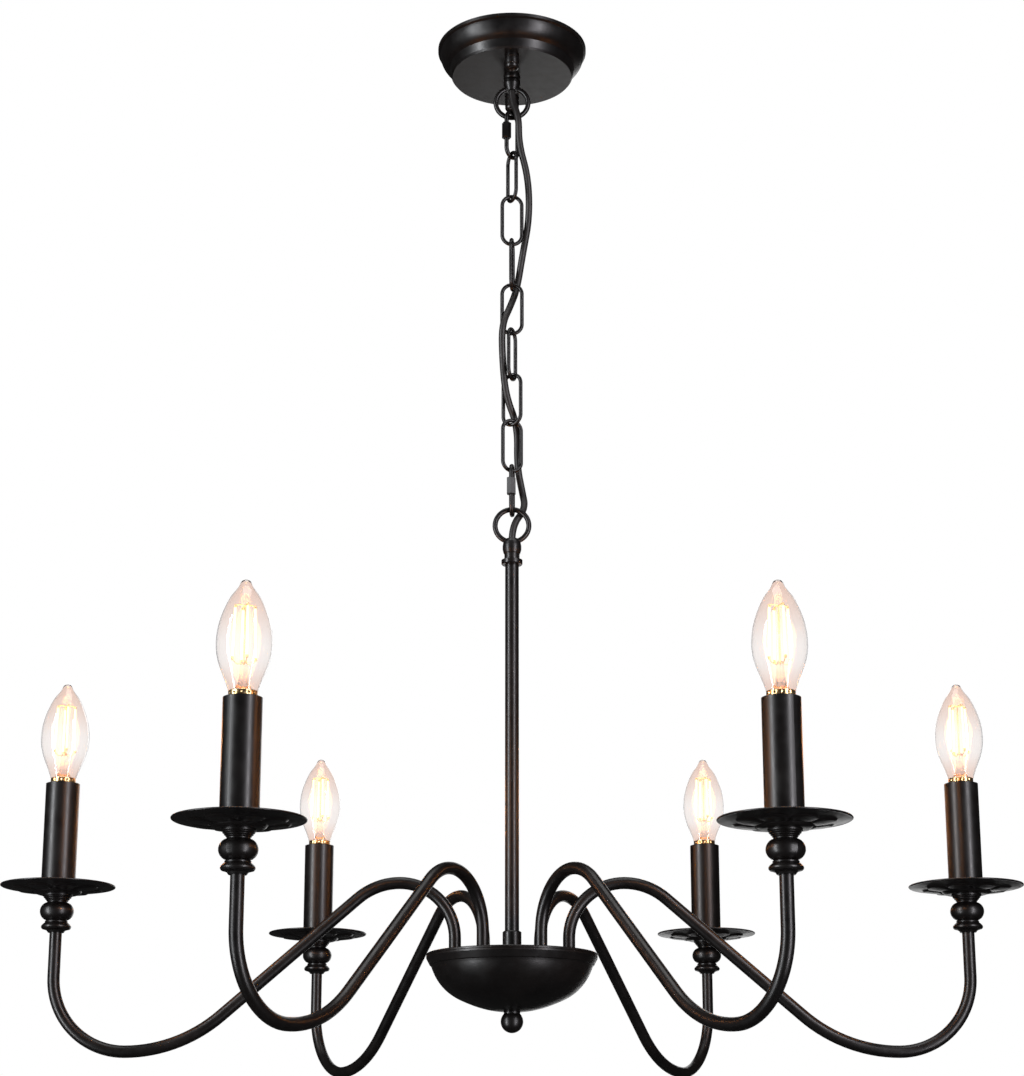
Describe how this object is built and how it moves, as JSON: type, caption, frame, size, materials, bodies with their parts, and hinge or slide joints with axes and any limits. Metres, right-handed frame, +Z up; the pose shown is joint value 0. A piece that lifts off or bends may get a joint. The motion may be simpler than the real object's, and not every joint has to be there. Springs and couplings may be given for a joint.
{
  "type": "multi arm chandelier",
  "caption": "Candle-style chandelier on a chain: curved tube arms with drip pans, candle sleeves and bulbs round a bowl hub, a stem, a woven-in cord and a round ceiling canopy.",
  "frame": {"origin": "midway between the two ceiling-box screw slots, on the ceiling face and the hanging axis", "axes": "+Z up out of the ceiling face, +X along the mounting crossbar and one pair of arms; everything hangs at negative Z"},
  "size_m": [0.756, 0.666, 0.8087],
  "materials": {
    "black_powder_coat": "satin",
    "zinc_steel": "satin",
    "green_screw": "gloss",
    "cord_jacket": "satin",
    "lead_insulation": "matte",
    "wire_nut_plastic": "matte",
    "socket_plastic": "matte",
    "cap_brass": "satin",
    "clear_glass": "gloss",
    "filament_glow": "matte"
  },
  "bodies": {
    "ceiling_mount": {"crossbar": "zinc_steel", "swivel_strap": "zinc_steel", "swivel_rivet": "zinc_steel", "ground_screw": "green_screw", "canopy_screws": "zinc_steel", "canopy_screw_nuts": "zinc_steel", "canopy": "black_powder_coat", "canopy_cap_nuts": "black_powder_coat", "canopy_loop": "black_powder_coat", "loop_nipple": "zinc_steel", "loop_lock_nut": "zinc_steel", "supply_wire_nuts": "wire_nut_plastic", "supply_leads": "lead_insulation", "power_cord": "cord_jacket"},
    "top_quick_link": {"top_quick_link": "black_powder_coat"},
    "top_sleeve": {"top_quick_link_sleeve": "black_powder_coat"},
    "link_1": {"chain_link_1": "black_powder_coat"},
    "link_2": {"chain_link_2": "black_powder_coat"},
    "link_3": {"chain_link_3": "black_powder_coat"},
    "link_4": {"chain_link_4": "black_powder_coat"},
    "link_5": {"chain_link_5": "black_powder_coat"},
    "link_6": {"chain_link_6": "black_powder_coat"},
    "link_7": {"chain_link_7": "black_powder_coat"},
    "bottom_quick_link": {"bottom_quick_link": "black_powder_coat"},
    "bottom_sleeve": {"bottom_quick_link_sleeve": "black_powder_coat"},
    "fixture": {"stem_loop": "black_powder_coat", "stem_rod": "black_powder_coat", "stem_coupling": "black_powder_coat", "hub_plate": "black_powder_coat", "hub_pipe": "zinc_steel", "hub_lock_nut": "zinc_steel", "arm_lock_nuts": "zinc_steel", "hub_bowl": "black_powder_coat", "finial": "black_powder_coat", "hub_wire_nuts": "wire_nut_plastic", "arm_leads": "lead_insulation", "arm_1": "black_powder_coat", "arm_2": "black_powder_coat", "arm_3": "black_powder_coat", "arm_4": "black_powder_coat", "arm_5": "black_powder_coat", "arm_6": "black_powder_coat", "balusters": "black_powder_coat", "bobeches": "black_powder_coat", "candle_sleeves": "black_powder_coat", "socket_nipples": "zinc_steel", "sockets": "socket_plastic", "socket_shells": "cap_brass"},
    "bulb_1": {"bulb_glass_1": "clear_glass", "bulb_core_1": "cap_brass"},
    "bulb_2": {"bulb_glass_2": "clear_glass", "bulb_core_2": "cap_brass"},
    "bulb_3": {"bulb_glass_3": "clear_glass", "bulb_core_3": "cap_brass"},
    "bulb_4": {"bulb_glass_4": "clear_glass", "bulb_core_4": "cap_brass"},
    "bulb_5": {"bulb_glass_5": "clear_glass", "bulb_core_5": "cap_brass"},
    "bulb_6": {"bulb_glass_6": "clear_glass", "bulb_core_6": "cap_brass"}
  },
  "joints": [
    {"name": "top_quick_link_swing", "type": "hinge", "parent": "ceiling_mount", "child": "top_quick_link", "pos_m": [0, 0, -0.06], "axis": [1, 0, 0], "range_deg": [-10, 10], "deforming": ["power_cord"]},
    {"name": "link_1_swing", "type": "hinge", "parent": "top_quick_link", "child": "link_1", "pos_m": [0, 0, -0.09495], "axis": [-0.6428, -0.766, 0], "range_deg": [-10, 10], "deforming": ["power_cord"]},
    {"name": "link_2_swing", "type": "hinge", "parent": "link_1", "child": "link_2", "pos_m": [0, 0, -0.1326], "axis": [0.4226, -0.9063, 0], "range_deg": [-10, 10], "deforming": ["power_cord"]},
    {"name": "link_3_swing", "type": "hinge", "parent": "link_2", "child": "link_3", "pos_m": [0, 0, -0.1705], "axis": [-0.9962, -0.0872, 0], "range_deg": [-10, 10], "deforming": ["power_cord"]},
    {"name": "link_4_swing", "type": "hinge", "parent": "link_3", "child": "link_4", "pos_m": [0, 0, -0.2084], "axis": [0.1045, 0.9945, 0], "range_deg": [-10, 10], "deforming": ["power_cord"]},
    {"name": "link_5_swing", "type": "hinge", "parent": "link_4", "child": "link_5", "pos_m": [0, 0, -0.2463], "axis": [-1, 0, 0], "range_deg": [-10, 10], "deforming": ["power_cord"]},
    {"name": "link_6_swing", "type": "hinge", "parent": "link_5", "child": "link_6", "pos_m": [0, 0, -0.2842], "axis": [0.342, 0.9397, 0], "range_deg": [-10, 10], "deforming": ["power_cord"]},
    {"name": "link_7_swing", "type": "hinge", "parent": "link_6", "child": "link_7", "pos_m": [0, 0, -0.3221], "axis": [-0.866, 0.5, 0], "range_deg": [-10, 10], "deforming": ["power_cord"]},
    {"name": "bottom_quick_link_swing", "type": "hinge", "parent": "link_7", "child": "bottom_quick_link", "pos_m": [0, 0, -0.36], "axis": [0.9063, 0.4226, 0], "range_deg": [-10, 10], "deforming": ["power_cord"]},
    {"name": "fixture_swing", "type": "hinge", "parent": "bottom_quick_link", "child": "fixture", "pos_m": [0, 0, -0.39545], "axis": [-0.0872, -0.9962, 0], "range_deg": [-10, 10], "deforming": ["power_cord"]},
    {"name": "top_sleeve_travel", "type": "slide", "parent": "top_quick_link", "child": "top_sleeve", "axis": [0, 0, -1], "range_m": [0, 0.0074]},
    {"name": "bottom_sleeve_travel", "type": "slide", "parent": "bottom_quick_link", "child": "bottom_sleeve", "axis": [0, 0, -1], "range_m": [0, 0.0074]},
    {"name": "bulb_1_lift", "type": "slide", "parent": "fixture", "child": "bulb_1", "axis": [0, 0, 1], "range_m": [0, 0.03]},
    {"name": "bulb_2_lift", "type": "slide", "parent": "fixture", "child": "bulb_2", "axis": [0, 0, 1], "range_m": [0, 0.03]},
    {"name": "bulb_3_lift", "type": "slide", "parent": "fixture", "child": "bulb_3", "axis": [0, 0, 1], "range_m": [0, 0.03]},
    {"name": "bulb_4_lift", "type": "slide", "parent": "fixture", "child": "bulb_4", "axis": [0, 0, 1], "range_m": [0, 0.03]},
    {"name": "bulb_5_lift", "type": "slide", "parent": "fixture", "child": "bulb_5", "axis": [0, 0, 1], "range_m": [0, 0.03]},
    {"name": "bulb_6_lift", "type": "slide", "parent": "fixture", "child": "bulb_6", "axis": [0, 0, 1], "range_m": [0, 0.03]}
  ]
}
